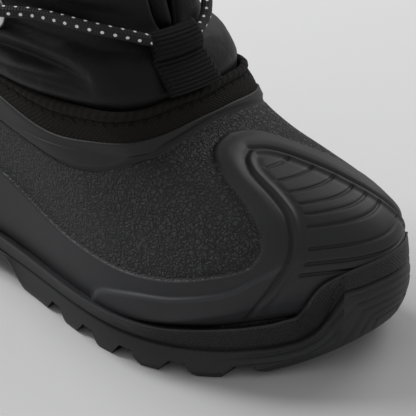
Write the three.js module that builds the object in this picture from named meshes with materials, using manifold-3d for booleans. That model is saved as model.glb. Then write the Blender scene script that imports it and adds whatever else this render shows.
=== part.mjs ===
// A junior snow boot for the right foot: a moulded rubber shell on a cup outsole, with a padded nylon shaft.
// Millimetres. +X points to the toe, +Y to the inner (big toe) side and +Z up; the sole stands on z = 0.

import * as THREE from 'three';
import { mergeVertices } from 'three/addons/utils/BufferGeometryUtils.js';
import Module from 'manifold-3d';

const wasm = await Module();
wasm.setup();

// Driving sizes
const bootLength = 242;          // of the form the tables are given for; the finished sole is 240 long
const gap = 0.3;                 // clearance between pieces that touch
const shellWall = 3;
const shaftWall = 4;
const tongueWall = 4;
const bindingWall = 2.1;
const insoleThickness = 4;
const insoleEase = 1.3;           // clearance to the shell all round
const strapWidth = 25;
const cordDiameter = 4;
const cordSides = 8;
const cordSteps = 44;
const ringWire = 2.2;
const around = 64;               // facets round every ring of the boot's form

// The foot's outline. Each station lies at a share of the length, on one side, and its half width is a mix of
// the four half widths of a row. bias moves the station with the foot's bend, and swing is its share of the
// toe's swing.
const stations = [
  // along, side, toe, ball, waist, heel, bias, swing
  [1.000, 0, 0, 0, 0, 0, 0, 1],
  [0.935, -1, 1, 0, 0, 0, 0, 0.8],
  [0.835, -1, 0.3, 0.7, 0, 0, 0.5, 0.2],
  [0.690, -1, 0, 1, 0, 0, 0, 0],
  [0.450, -1, 0, 0, 1, 0, -2.8, 0],
  [0.190, -1, 0, 0, 0, 1, 0, 0],
  [0.050, -1, 0, 0, 0, 0.7, 0, 0],
  [0.000, 0, 0, 0, 0, 0, 0, 0],
  [0.050, 1, 0, 0, 0, 0.7, 0, 0],
  [0.190, 1, 0, 0, 0, 1, 0, 0],
  [0.430, 1, 0, 0, 1, 0, -2.8, 0],
  [0.700, 1, 0, 1, 0, 0, 0, 0],
  [0.850, 1, 0.4, 0.6, 0, 0, 1.4, 0.25],
  [0.945, 1, 1, 0, 0, 0, 0, 0.8],
];

// The boot's outer form, from the shell's underside to the collar. back and front are measured from the heel's
// end, the widths are half widths, and the three heights hold at the toe, the ball and the heel. innerDraw
// narrows the inner side over the toes and the ball, where the upper leans in.
const formRows = [
  // back, front, swing, toe, ball, waist, heel, zToe, zBall, zHeel, footShare, innerDraw
  [5, 232.2, 12, 21.4, 42, 31.5, 29.5, 20, 11, 14, 1, 0], // 0 underside
  [2.5, 237.1, 12.5, 24.3, 45.5, 34, 32, 29, 16, 20, 1, 0], // 1 feather edge
  [1.5, 238.7, 12.5, 24.8, 45.8, 34.5, 32.3, 37, 25, 30, 1, 0.6], // 2 rand middle
  [2.5, 236.5, 12.5, 24.5, 44.2, 34, 31.8, 46, 34, 41, 0.9, 1], // 3 rand top
  [3.5, 227, 12, 23.5, 41.7, 33.5, 31.3, 54.5, 43.5, 51, 0.7, 2.2], // 4 toe shoulder
  [4.5, 212.5, 10.5, 24, 39.5, 33.2, 31, 60, 52.5, 58, 0.5, 3.2], // 5 toe top
  [5.5, 196, 7.5, 26, 38, 33, 30.8, 64, 59.5, 64, 0.35, 3], // 6 vamp middle
  [6.5, 182, 5, 28.5, 37, 32.7, 30.6, 67.5, 64.5, 69, 0.2, 1.8], // 7 vamp high
  [7, 175, 3.5, 30.5, 36.5, 32.5, 30.5, 70, 65.5, 72, 0.1, 0.6], // 8 rim groove
  [7.5, 170.5, 2.5, 31, 36, 32.5, 30.5, 75, 68.5, 76, 0, 0], // 9 rim top
  [8.5, 165.5, 1, 29.5, 35.2, 32, 30.5, 84, 80.5, 86, 0, 0], // 10 binding top
  [9.5, 152.5, 0, 23, 33, 32.5, 30.5, 104, 103, 105, 0, 0], // 11 ankle
  [9.5, 146, 0, 23, 36, 36, 32, 130, 130, 130, 0, 0], // 12 low shaft
  [9, 141, 0, 24, 37.5, 37.5, 34, 168, 168, 168, 0, 0], // 13 middle shaft
  [9, 139, 0, 25, 39, 39, 36, 212, 212, 212, 0, 0], // 14 collar
];
const rimTopRow = 9;
const bindingTopRow = 10;
const collarRow = 14;

// The outsole's outer form, with its heights worked out below.
const soleRows = {
  // back, front, swing, toe, ball, waist, heel
  tread: [3, 235.5, 12.5, 25.2, 46.9, 34.6, 32.3],
  side: [1.5, 237.5, 12.5, 26, 47.4, 35.3, 33],
  bumper: [1.2, 239, 12.5, 26.8, 47.8, 35.5, 33.2],
};
const bandStandsOut = { sides: 2.3, toe: 1.3 };  // the band's face, in front of the shell
const lipStandsOut = { sides: 1.7, toe: 1.1 };
const bandHeights = { heelLow: 13, ballLow: 10, height: 7.8, toeRise: 21.5, tipRise: 4 };
const bandStep = { from: 0.918, to: 0.952 };
const treadHeights = {
  heelBevel: 3,
  archFrom: 64,
  archTo: 112,
  archRise: 7,
  springFrom: 196,
  springRise: 12.6,
};
const springPower = 2.5;
const sideAbove = 2.5;           // the sole's widest edge lies this far above its tread
const treadStart = 11;           // the heel's flat begins here

const clamp = THREE.MathUtils.clamp;
const smoothstep = (x, from, to) => THREE.MathUtils.smoothstep(x, from, to);
const middle = bootLength / 2;
const toMiddle = 0.9;            // moves the finished boot forward, so its length is centred on the origin

// the form

function mixRows(v) {
  const last = formRows.length - 1;
  const low = clamp(Math.floor(v), 0, last - 1);
  const t = v - low;
  const rowAt = (index) => formRows[clamp(index, 0, last)];
  return formRows[low].map((value, column) => {
    const before = rowAt(low - 1)[column];
    const next = rowAt(low + 1)[column];
    const after = rowAt(low + 2)[column];
    const slopes = (next - before) * t;
    const bend = (2 * before - 5 * value + 4 * next - after) * t * t;
    const twist = (3 * value - before - 3 * next + after) * t * t * t;
    return value + (slopes + bend + twist) / 2;
  });
}

function outlinePoints(row, heightAt, footShare, innerDraw = 0) {
  const [back, front, swing, toe, ball, waist, heel] = row;
  return stations.map(([along, side, toeShare, ballShare, waistShare, heelShare, bias, swingShare]) => {
    const halfWidth = toeShare * toe + ballShare * ball + waistShare * waist + heelShare * heel;
    const x = back + (front - back) * along;
    const drawn = side > 0 ? innerDraw * (toeShare + ballShare) : 0;
    const y = side * halfWidth + bias * footShare + swingShare * swing - drawn;
    return new THREE.Vector3(x - middle, y, heightAt(along, x));
  });
}

function ringCurve(points) {
  const curve = new THREE.CatmullRomCurve3(points, true, 'centripetal');
  curve.arcLengthDivisions = 480;
  return curve;
}

const formCurves = new Map();

function formCurve(v) {
  const key = v.toFixed(4);
  if (!formCurves.has(key)) {
    const row = mixRows(v);
    const [zToe, zBall, zHeel, footShare, innerDraw] = row.slice(7);
    const heightAt = (along) =>
      zHeel + (zBall - zHeel) * smoothstep(along, 0.19, 0.69) + (zToe - zBall) * smoothstep(along, 0.69, 0.95);
    formCurves.set(key, ringCurve(outlinePoints(row, heightAt, footShare, innerDraw)));
  }
  return formCurves.get(key);
}

const formPoint = (u, v) => formCurve(v).getPointAt(((u % 1) + 1) % 1);

function formNormal(u, v) {
  const stepAround = 0.004;
  const stepUp = 0.05;
  const along = formPoint(u + stepAround, v).sub(formPoint(u - stepAround, v));
  const level = clamp(v, stepUp, collarRow - stepUp);
  const up = formPoint(u, level + stepUp).sub(formPoint(u, level - stepUp));
  return up.cross(along).normalize();
}

const offsetPoint = (u, v, offset) => formPoint(u, v).addScaledVector(formNormal(u, v), offset);

function formRing(v, offset, lower = 0) {
  return Array.from({ length: around }, (_, i) => {
    const point = offsetPoint(i / around, v, offset);
    point.z -= lower;
    return point;
  });
}

// solids

function geometryOf(points, triangles) {
  const geometry = new THREE.BufferGeometry();
  const positions = points.flatMap((p) => [p.x, p.y, p.z]);
  geometry.setAttribute('position', new THREE.Float32BufferAttribute(positions, 3));
  geometry.setIndex(triangles);
  return mergeVertices(geometry, 1e-5);
}

// Closed rings stacked from low to high, as wall triangles that face out.
function wallTriangles(rings, start = 0) {
  const count = rings[0].length;
  const triangles = [];
  for (let level = 0; level < rings.length - 1; level += 1) {
    for (let i = 0; i < count; i += 1) {
      const j = (i + 1) % count;
      const low = start + level * count;
      const high = low + count;
      triangles.push(low + i, high + i, low + j, low + j, high + i, high + j);
    }
  }
  return triangles;
}

// A ring closed by bands that run across the foot, from one side to the other.
function capTriangles(count, start, facesUp) {
  const triangles = [];
  for (let i = 0; i < count / 2; i += 1) {
    const [a, b] = [start + i, start + i + 1];
    const [c, d] = [start + ((count - i) % count), start + ((count - i - 1) % count)];
    const faces = [];
    if (a !== c) faces.push([a, c, b]);
    if (b !== d) faces.push([b, c, d]);
    faces.forEach(([p, q, r]) => triangles.push(...(facesUp ? [p, q, r] : [p, r, q])));
  }
  return triangles;
}

function filledForm(rings) {
  const count = rings[0].length;
  const top = (rings.length - 1) * count;
  const triangles = wallTriangles(rings);
  triangles.push(...capTriangles(count, 0, false), ...capTriangles(count, top, true));
  return geometryOf(rings.flat(), triangles);
}

// A wall: outer rings upwards, then inner rings downwards, and round to the start.
function hollowForm(outerRings, innerRings) {
  const rings = [...outerRings, ...innerRings.slice().reverse()];
  const count = rings.length * around;
  return geometryOf(rings.flat(), wallTriangles([...rings, rings[0]]).map((i) => i % count));
}

function solidOf(geometry) {
  const plain = new THREE.BufferGeometry();
  plain.setAttribute('position', geometry.getAttribute('position').clone());
  plain.setIndex(geometry.index ? geometry.index.clone() : null);
  const merged = mergeVertices(plain, 1e-5);
  const mesh = new wasm.Mesh({
    numProp: 3,
    vertProperties: new Float32Array(merged.getAttribute('position').array),
    triVerts: new Uint32Array(merged.index.array),
  });
  return new wasm.Manifold(mesh);
}

function geometryOfSolid(solid) {
  const mesh = solid.getMesh();
  const geometry = new THREE.BufferGeometry();
  geometry.setAttribute('position', new THREE.BufferAttribute(new Float32Array(mesh.vertProperties), 3));
  geometry.setIndex(new THREE.BufferAttribute(new Uint32Array(mesh.triVerts), 1));
  return geometry;
}

const cut = (solid, tools) => tools.reduce((rest, tool) => rest.subtract(solidOf(tool)), solid);

// A patch of the form with its own outer and inner offsets, closed at its four edges.
function patchForm(uRange, vRange, steps, outer, inner) {
  const [columns, levels] = steps;
  const points = [];
  [outer, inner].forEach((offsetAt) => {
    for (let j = 0; j <= levels; j += 1) {
      const t = j / levels;
      for (let i = 0; i <= columns; i += 1) {
        const s = i / columns;
        const u = uRange[0] + (uRange[1] - uRange[0]) * s;
        const v = vRange[0] + (vRange[1] - vRange[0]) * t;
        points.push(offsetPoint(u, v, offsetAt(s, t)));
      }
    }
  });
  const row = columns + 1;
  const layer = row * (levels + 1);
  const triangles = [];
  const quad = (a, b, c, d) => triangles.push(a, b, c, a, c, d);
  for (let j = 0; j < levels; j += 1) {
    for (let i = 0; i < columns; i += 1) {
      const a = j * row + i;
      quad(a, a + row, a + row + 1, a + 1);
      quad(layer + a, layer + a + 1, layer + a + row + 1, layer + a + row);
    }
    const left = j * row;
    const right = left + columns;
    quad(left, layer + left, layer + left + row, left + row);
    quad(right, right + row, layer + right + row, layer + right);
  }
  for (let i = 0; i < columns; i += 1) {
    const top = levels * row + i;
    quad(i, i + 1, layer + i + 1, layer + i);
    quad(top, layer + top, layer + top + 1, top + 1);
  }
  return geometryOf(points, triangles);
}

function cordTube(curve, diameter, sides, steps) {
  const shape = new THREE.Shape();
  for (let i = 0; i < sides; i += 1) {
    const angle = (2 * Math.PI * i) / sides;
    const [x, y] = [Math.cos(angle) * diameter / 2, Math.sin(angle) * diameter / 2];
    if (i === 0) shape.moveTo(x, y);
    else shape.lineTo(x, y);
  }
  shape.closePath();
  return new THREE.ExtrudeGeometry(shape, { steps, extrudePath: curve, bevelEnabled: false });
}

// outsole

function treadHeight(x) {
  const { heelBevel, archFrom, archTo, archRise, springFrom, springRise } = treadHeights;
  if (x < treadStart) return heelBevel * ((treadStart - x) / treadStart) ** 1.5;
  if (x > springFrom) return springRise * ((x - springFrom) / (soleRows.tread[1] - springFrom)) ** springPower;
  const arch = smoothstep(x, archFrom, archFrom + 12) * (1 - smoothstep(x, archTo - 12, archTo));
  return archRise * arch;
}

function bandHeight(x) {
  const { heelLow, ballLow, toeRise, tipRise } = bandHeights;
  const along = shareOfSole(x);
  const side = heelLow + (ballLow - heelLow) * smoothstep(along, 0.19, 0.69);
  const step = toeRise * smoothstep(along, bandStep.from, bandStep.to);
  return side + step + tipRise * smoothstep(along, bandStep.to, 1);
}

const soleSamples = 104;         // finer than the form, for the band's step at the toe
const shareOfSole = (x) => clamp(x / bootLength, 0, 1);

function soleRing(row, heightAt) {
  const flat = ringCurve(outlinePoints(row, () => 0, 1));
  return Array.from({ length: soleSamples }, (_, i) => {
    const point = flat.getPointAt(i / soleSamples);
    point.z = heightAt(point.x + middle);
    return point;
  });
}

// A ring that hugs the shell at a height of its own, found by halving between two rows.
function huggingRing(heightAt, { sides, toe }) {
  return Array.from({ length: soleSamples }, (_, i) => {
    const u = i / soleSamples;
    let [low, high] = [0, 5];
    for (let turn = 0; turn < 18; turn += 1) {
      const v = (low + high) / 2;
      const point = formPoint(u, v);
      if (point.z < heightAt(point.x + middle)) low = v;
      else high = v;
    }
    const point = formPoint(u, low);
    const height = heightAt(point.x + middle);
    const outward = formNormal(u, low).setZ(0).normalize();
    const towardsToe = smoothstep(shareOfSole(point.x + middle), bandStep.from, bandStep.to);
    const offset = sides + (toe - sides) * towardsToe;
    return point.addScaledVector(outward, offset).setZ(height);
  });
}

// One groove of the tread: a trapezoid, wide at the ground, that runs across the sole.
function treadGroove(x, fromY, toY, width) {
  const shape = new THREE.Shape();
  const taper = (grooveTaper * width) / grooveWidth;
  shape.moveTo(-width / 2, -1);
  shape.lineTo(width / 2, -1);
  shape.lineTo(width / 2 - taper, grooveDepth);
  shape.lineTo(-width / 2 + taper, grooveDepth);
  shape.closePath();
  const groove = new THREE.ExtrudeGeometry(shape, { depth: toY - fromY, bevelEnabled: false });
  groove.rotateX(Math.PI / 2);
  groove.translate(x - middle, toY, 0);
  return groove;
}

const groovePitch = 19;
const grooveWidth = 13.9;
const grooveDepth = 4.6;
const grooveTaper = 4.2;
const centreRib = 12;            // half width of the middle row of lugs
const pastTheEdge = 60;          // how far a side groove is cut, beyond the sole's edge
const innerSideShift = 4;        // the inner side's grooves lie this much further forward
const heelGrooves = { from: 18, count: 3 };
const soleGrooves = { from: 133, count: 5 };

function treadGrooves() {
  const tools = [];
  [heelGrooves, soleGrooves].forEach(({ from, count }) => {
    for (let i = 0; i < count; i += 1) {
      const x = from + i * groovePitch;
      tools.push(treadGroove(x, -pastTheEdge, -centreRib, grooveWidth));
      tools.push(treadGroove(x + innerSideShift, centreRib, pastTheEdge, grooveWidth));
    }
    for (let i = 0; i < count - 1; i += 1) {
      tools.push(treadGroove(from + (i + 0.6) * groovePitch, -centreRib + 3, centreRib - 3, grooveWidth * 0.6));
    }
  });
  return tools;
}

function outsoleGeometry() {
  const { tread, side, bumper } = soleRows;
  const high = (x) => bandHeight(x) + bandHeights.height;
  const sideHeight = (x) => treadHeight(x) + sideAbove;
  const rings = [
    soleRing(tread, treadHeight),
    soleRing(side, sideHeight),
    soleRing(bumper, (x) => (sideHeight(x) + bandHeight(x)) / 2),
    huggingRing(bandHeight, bandStandsOut),
    huggingRing((x) => high(x) - 0.6, bandStandsOut),
    huggingRing(high, lipStandsOut),
  ];
  const levels = [0, 1, 1.5, 2, 3, 4];
  const cavity = levels.map((v, i) => formRing(v, gap, i === 0 ? gap : 0));
  const solid = solidOf(filledForm(rings)).subtract(solidOf(filledForm(cavity)));
  return geometryOfSolid(cut(solid, treadGrooves()));
}

// shell, shaft and what they hold

function shellGeometry() {
  const outer = [0, 1, 1.5, 2, 3, 4, 5, 6, 7, 8, 8.5, 9].map((v) => formRing(v, 0));
  const inner = [0, 1, 2, 3.5, 5, 6.5, 8, 8.5, 9].map((v) => formRing(v, -shellWall));
  return hollowForm(outer, inner);
}

function insoleGeometry() {
  const rings = [0, 0.35].map((v) => formRing(v, -shellWall - insoleEase));
  const floor = formRing(0, 0);
  const heights = [gap, gap + insoleThickness];
  heights.forEach((height, level) => {
    rings[level].forEach((point, i) => {
      point.z = floor[i].z + height;
    });
  });
  return filledForm(rings);
}

// How far the shaft's cloth lies behind the form: inside the shell's rim and the binding, then out to the form.
const tuckOffset = -shellWall - 1.5 * gap;
const shaftLevels = [
  // v, offset
  [8, tuckOffset],
  [8.5, tuckOffset],
  [9, tuckOffset],
  [10.0, tuckOffset],
  [10.12, -0.6],
  [10.4, 1.2],
  [10.75, 0.4],
  [11.15, -0.3],
  [11.5, 0.5],
  [12, 0.6],
  [13, 0],
  [14, 0],
];
const shaftBulge = [10.12, 10.4, 10.75];  // levels of the outer cloth only, because the lining runs straight
const throat = { halfWidthLow: 6, halfWidthHigh: 17, bottom: 100 };

// The gap at the front of the shaft, wider at the collar, as a wedge through the front wall.
function throatWedge() {
  const shape = new THREE.Shape();
  const top = formRows[collarRow][7] + 5;
  shape.moveTo(-throat.halfWidthLow, throat.bottom);
  shape.lineTo(throat.halfWidthLow, throat.bottom);
  shape.lineTo(throat.halfWidthHigh, top);
  shape.lineTo(-throat.halfWidthHigh, top);
  shape.closePath();
  const wedge = new THREE.ExtrudeGeometry(shape, { depth: 60, bevelEnabled: false });
  wedge.rotateX(Math.PI / 2);
  wedge.rotateZ(Math.PI / 2);
  return wedge;
}

function shaftGeometry() {
  const outer = shaftLevels.map(([v, offset]) => formRing(v, offset));
  const smoothed = shaftLevels.filter(([v]) => !shaftBulge.includes(v));
  const inner = smoothed.map(([v, offset]) => formRing(v, offset - shaftWall));
  return geometryOfSolid(solidOf(hollowForm(outer, inner)).subtract(solidOf(throatWedge())));
}

function bindingGeometry() {
  const levels = [rimTopRow + 0.08, bindingTopRow];
  const inside = tuckOffset + 1.5 * gap;
  const outer = levels.map((v) => formRing(v, inside + bindingWall));
  const inner = levels.map((v) => formRing(v, inside));
  return hollowForm(outer, inner);
}

const tongueSpread = 0.062;      // share of the ring on each side of the front
const tongueLevels = [10.6, 14.06];

function tongueGeometry() {
  const behind = -shaftWall - 0.6 - gap - 1;
  const proud = (s) => 3 * Math.max(0, 1 - (Math.abs(s - 0.5) / 0.12) ** 2);
  const lowEdge = (t) => 0.9 * (1 - smoothstep(t, 0, 0.2));
  return patchForm(
    [-tongueSpread, tongueSpread], tongueLevels, [13, 11],
    (s, t) => behind - lowEdge(t) + proud(s) * smoothstep(t, 0.17, 0.32),
    (s, t) => behind - lowEdge(t) - tongueWall,
  );
}

// strap, cord, rings and tabs

// The cord's way round the front of the ankle: through the strap's fold and down through each side's ring.
const cordHalf = [
  // x, distance from the middle, z
  [38.4, 0, 101.3],
  [37.9, 5, 101.4],
  [36.3, 9.6, 101.8],
  [34.1, 14.2, 103],
  [30.4, 19, 104.6],
  [26, 23.9, 106.3],
  [21, 27.6, 107.6],
  [15.5, 30.3, 108.6],
  [9.1, 32.3, 109.2],
  [2.8, 34.9, 109.9],
  [-2.8, 38.4, 110.5],
  [-7.2, 41, 110.9],
  [-11.4, 42, 111],
  [-15, 40.8, 111],
  [-17.4, 38.4, 111],
];

function cordCurve() {
  const [, ...sideways] = cordHalf;
  const outerSide = sideways.map(([x, y, z]) => new THREE.Vector3(x, -y, z)).reverse();
  const innerSide = sideways.map(([x, y, z]) => new THREE.Vector3(x, y, z));
  return new THREE.CatmullRomCurve3([...outerSide, new THREE.Vector3(...cordHalf[0]), ...innerSide]);
}

function cordGeometry() {
  return cordTube(cordCurve(), cordDiameter, cordSides, cordSteps);
}

// The strap's middle lies a little to the outer side of the toe's line, at a share of the ring and in millimetres.
const strapAside = { share: 0.011, distance: 4 };
const strap = { reach: 0.045, levels: [bindingTopRow + 0.08, 10.98], inside: 1.7, thickness: 2 };
const fold = { middle: 0.79, half: 0.2, standsOut: 8 };

// The strap is two layers of webbing that open into a fold round the cord near its top edge.
function strapGeometry() {
  const outer = (s, t) => {
    const across = clamp((t - fold.middle) / fold.half, -1, 1);
    const bulge = Math.sqrt(1 - across * across);
    return strap.inside + strap.thickness + (fold.standsOut - strap.inside - strap.thickness) * bulge;
  };
  const reach = [-strap.reach + strapAside.share, strap.reach + strapAside.share];
  const patch = patchForm(reach, strap.levels, [8, 14], outer, () => strap.inside);
  const keep = new THREE.BoxGeometry(100, strapWidth, 60);
  keep.translate(40, -strapAside.distance, 95);
  const tunnel = cordTube(cordCurve(), cordDiameter + 2 * gap, cordSides, cordSteps);
  return geometryOfSolid(solidOf(patch).intersect(solidOf(keep)).subtract(solidOf(tunnel)));
}

const ringPlace = { u: 0.2, v: 11.27, standsOff: 3.8 };
// Half of a D ring's centre line: forward of its straight bar, and up from its middle.
const ringHalf = [
  [0, 2.8],
  [0, 5.8],
  [0.8, 8],
  [3, 9],
  [7, 8],
  [11, 5],
];
const ringFront = 13;
const tabHeight = 12;
const tabLength = 22;
const webbingLayer = 1.2;

// Places a piece made with +X forward, +Y away from the foot and +Z up against one side of the ankle.
function atAnkle(side) {
  const u = side < 0 ? ringPlace.u : 1 - ringPlace.u;
  const outward = formNormal(u, ringPlace.v);
  const forward = new THREE.Vector3(1, 0, 0).addScaledVector(outward, -outward.x).normalize();
  const up = new THREE.Vector3().crossVectors(forward, outward);
  const matrix = new THREE.Matrix4().makeBasis(forward, outward, side < 0 ? up.negate() : up);
  return matrix.setPosition(formPoint(u, ringPlace.v));
}

const mirrored = (geometry) => {
  const index = geometry.index.array.slice();
  for (let i = 0; i < index.length; i += 3) [index[i], index[i + 1]] = [index[i + 1], index[i]];
  geometry.setIndex(new THREE.BufferAttribute(index, 1));
  return geometry;
};

// The matrix of the outer side turns the piece inside out, so its triangles are turned back.
function placedAtAnkle(geometry, side) {
  const plain = new THREE.BufferGeometry().copy(geometry);
  const placed = mergeVertices(plain.deleteAttribute('normal').deleteAttribute('uv'));
  placed.applyMatrix4(atAnkle(side));
  return atAnkle(side).determinant() < 0 ? mirrored(placed) : placed;
}

function ringGeometry(side) {
  const rising = ringHalf.map(([x, z]) => new THREE.Vector3(x, ringPlace.standsOff, z));
  const falling = ringHalf.map(([x, z]) => new THREE.Vector3(x, ringPlace.standsOff, -z)).reverse();
  const front = new THREE.Vector3(ringFront, ringPlace.standsOff, 0);
  const curve = new THREE.CatmullRomCurve3([...rising, front, ...falling], true, 'centripetal');
  const steps = 24;
  const sides = 6;
  const across = new THREE.Vector3(0, 1, 0);
  const sections = Array.from({ length: steps }, (_, k) => {
    const centre = curve.getPointAt(k / steps);
    const beside = new THREE.Vector3().crossVectors(curve.getTangentAt(k / steps), across).normalize();
    return Array.from({ length: sides }, (__, i) => {
      const angle = (2 * Math.PI * i) / sides;
      return centre.clone()
        .addScaledVector(across, (Math.cos(angle) * ringWire) / 2)
        .addScaledVector(beside, (-Math.sin(angle) * ringWire) / 2);
    });
  });
  const count = steps * sides;
  const loop = wallTriangles([...sections, sections[0]]).map((i) => i % count);
  return placedAtAnkle(geometryOf(sections.flat(), loop), side);
}

// A webbing tab, sewn flat at the back and folded round the ring's bar.
function tabGeometry(side) {
  const eye = ringWire / 2 + gap;
  const low = ringPlace.standsOff - eye - webbingLayer;
  const shape = new THREE.Shape();
  shape.moveTo(-tabLength, low);
  shape.lineTo(0, low);
  shape.absarc(0, ringPlace.standsOff, eye + webbingLayer, -Math.PI / 2, (2 * Math.PI) / 3, false);
  shape.lineTo(-6.5, low + 2 * webbingLayer);
  shape.lineTo(-tabLength, low + 2 * webbingLayer);
  shape.closePath();
  const bore = new THREE.Path();
  bore.absarc(0, ringPlace.standsOff, eye, 0, 2 * Math.PI, true);
  shape.holes.push(bore);
  const tab = new THREE.ExtrudeGeometry(shape, { depth: tabHeight, bevelEnabled: false, curveSegments: 10 });
  tab.translate(0, 0, -tabHeight / 2);
  return placedAtAnkle(tab, side);
}

const colours = {
  outsole: 0x3f4145,
  shell: 0x3a3c40,
  nylon: 0x1d1b1c,
  binding: 0x2a2725,
  webbing: 0x141314,
  cord: 0x0e0e0f,
  steel: 0xb9bab8,
  insole: 0x55524e,
};

function node(name, geometry, color, roughness, metalness = 0) {
  geometry.translate(toMiddle, 0, 0);
  const mesh = new THREE.Mesh(geometry, new THREE.MeshStandardMaterial({ color, roughness, metalness }));
  mesh.name = name;
  return mesh;
}

const boot = new THREE.Group();
boot.name = 'snow_boot';
boot.add(
  node('outsole', outsoleGeometry(), colours.outsole, 0.7),
  node('shell', shellGeometry(), colours.shell, 0.65),
  node('insole', insoleGeometry(), colours.insole, 0.95),
  node('shaft', shaftGeometry(), colours.nylon, 0.5),
  node('binding', bindingGeometry(), colours.binding, 0.9),
  node('tongue', tongueGeometry(), colours.nylon, 0.5),
  node('front_strap', strapGeometry(), colours.webbing, 0.85),
  node('lace', cordGeometry(), colours.cord, 0.8),
);
[['outer', -1], ['inner', 1]].forEach(([name, side]) => {
  boot.add(node(`${name}_ring`, ringGeometry(side), colours.steel, 0.3, 1));
  boot.add(node(`${name}_tab`, tabGeometry(side), colours.webbing, 0.85));
});

export default boot;
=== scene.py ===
import math

import bmesh
import bpy
import numpy as np
from mathutils import Matrix, Vector


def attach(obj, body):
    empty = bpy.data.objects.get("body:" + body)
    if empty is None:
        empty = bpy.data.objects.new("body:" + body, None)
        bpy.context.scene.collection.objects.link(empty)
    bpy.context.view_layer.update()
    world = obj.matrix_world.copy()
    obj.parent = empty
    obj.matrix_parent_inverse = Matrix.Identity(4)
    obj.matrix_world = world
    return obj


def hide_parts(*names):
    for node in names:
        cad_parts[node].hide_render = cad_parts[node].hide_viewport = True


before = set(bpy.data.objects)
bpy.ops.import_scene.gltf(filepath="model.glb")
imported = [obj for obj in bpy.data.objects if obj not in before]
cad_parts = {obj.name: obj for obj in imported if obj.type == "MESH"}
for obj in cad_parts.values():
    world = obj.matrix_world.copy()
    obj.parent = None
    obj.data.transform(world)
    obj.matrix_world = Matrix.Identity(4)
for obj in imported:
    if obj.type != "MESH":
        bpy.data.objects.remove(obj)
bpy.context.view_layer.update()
mm = 0.001
print("frame loaded")

camera = {
    "aim": (48.9, -1.2, 39.4), "azimuth": 42, "elevation": 29, "roll": -0.7,
    "distance": 590, "lens": 146.25,
}


def addCamera():
    azimuth, elevation = math.radians(camera["azimuth"]), math.radians(camera["elevation"])
    level = math.cos(elevation)
    back = Vector((math.sin(azimuth) * level, -math.cos(azimuth) * level, math.sin(elevation)))
    side = Vector((math.cos(azimuth), math.sin(azimuth), 0))
    turn = Matrix.Rotation(math.radians(camera["roll"]), 3, back)
    side = turn @ side
    up = back.cross(side)
    bpy.ops.object.camera_add(location=(Vector(camera["aim"]) + back * camera["distance"]) * mm)
    shot = bpy.context.object
    shot.rotation_euler = Matrix((side, up, back)).transposed().to_euler()
    shot.data.lens = camera["lens"]
    shot.data.sensor_width = 36
    shot.data.clip_start = 0.01
    bpy.context.scene.camera = shot


bpy.ops.object.select_all(action="DESELECT")
addCamera()

# Closed rings stacked from the shell's underside to the collar. u runs round a ring from the toe's tip over
# the outer side, v counts the rows. All sizes are millimetres, and x is measured from the middle of the
# length.

middle = 121
toMiddle = 0.9                   # moves the finished boot forward, so its length is centred on the origin
stations = np.array([
    # along, side, toe, ball, waist, heel, bias, swing
    (1.000, 0, 0, 0, 0, 0, 0, 1),
    (0.935, -1, 1, 0, 0, 0, 0, 0.8),
    (0.835, -1, 0.3, 0.7, 0, 0, 0.5, 0.2),
    (0.690, -1, 0, 1, 0, 0, 0, 0),
    (0.450, -1, 0, 0, 1, 0, -2.8, 0),
    (0.190, -1, 0, 0, 0, 1, 0, 0),
    (0.050, -1, 0, 0, 0, 0.7, 0, 0),
    (0.000, 0, 0, 0, 0, 0, 0, 0),
    (0.050, 1, 0, 0, 0, 0.7, 0, 0),
    (0.190, 1, 0, 0, 0, 1, 0, 0),
    (0.430, 1, 0, 0, 1, 0, -2.8, 0),
    (0.700, 1, 0, 1, 0, 0, 0, 0),
    (0.850, 1, 0.4, 0.6, 0, 0, 1.4, 0.25),
    (0.945, 1, 1, 0, 0, 0, 0, 0.8),
])
formRows = np.array([
    # back, front, swing, toe, ball, waist, heel, zToe, zBall, zHeel, footShare, innerDraw
    (5, 232.2, 12, 21.4, 42, 31.5, 29.5, 20, 11, 14, 1, 0),
    (2.5, 237.1, 12.5, 24.3, 45.5, 34, 32, 29, 16, 20, 1, 0),
    (1.5, 238.7, 12.5, 24.8, 45.8, 34.5, 32.3, 37, 25, 30, 1, 0.6),
    (2.5, 236.5, 12.5, 24.5, 44.2, 34, 31.8, 46, 34, 41, 0.9, 1),
    (3.5, 227, 12, 23.5, 41.7, 33.5, 31.3, 54.5, 43.5, 51, 0.7, 2.2),
    (4.5, 212.5, 10.5, 24, 39.5, 33.2, 31, 60, 52.5, 58, 0.5, 3.2),
    (5.5, 196, 7.5, 26, 38, 33, 30.8, 64, 59.5, 64, 0.35, 3),
    (6.5, 182, 5, 28.5, 37, 32.7, 30.6, 67.5, 64.5, 69, 0.2, 1.8),
    (7, 175, 3.5, 30.5, 36.5, 32.5, 30.5, 70, 65.5, 72, 0.1, 0.6),
    (7.5, 170.5, 2.5, 31, 36, 32.5, 30.5, 75, 68.5, 76, 0, 0),
    (8.5, 165.5, 1, 29.5, 35.2, 32, 30.5, 84, 80.5, 86, 0, 0),
    (9.5, 152.5, 0, 23, 33, 32.5, 30.5, 104, 103, 105, 0, 0),
    (9.5, 146, 0, 23, 36, 36, 32, 130, 130, 130, 0, 0),
    (9, 141, 0, 24, 37.5, 37.5, 34, 168, 168, 168, 0, 0),
    (9, 139, 0, 25, 39, 39, 36, 212, 212, 212, 0, 0),
], float)
collarRow = 14


def blend(x, start, end):
    t = np.clip((np.asarray(x, float) - start) / (end - start), 0, 1)
    return t * t * (3 - 2 * t)


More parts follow.
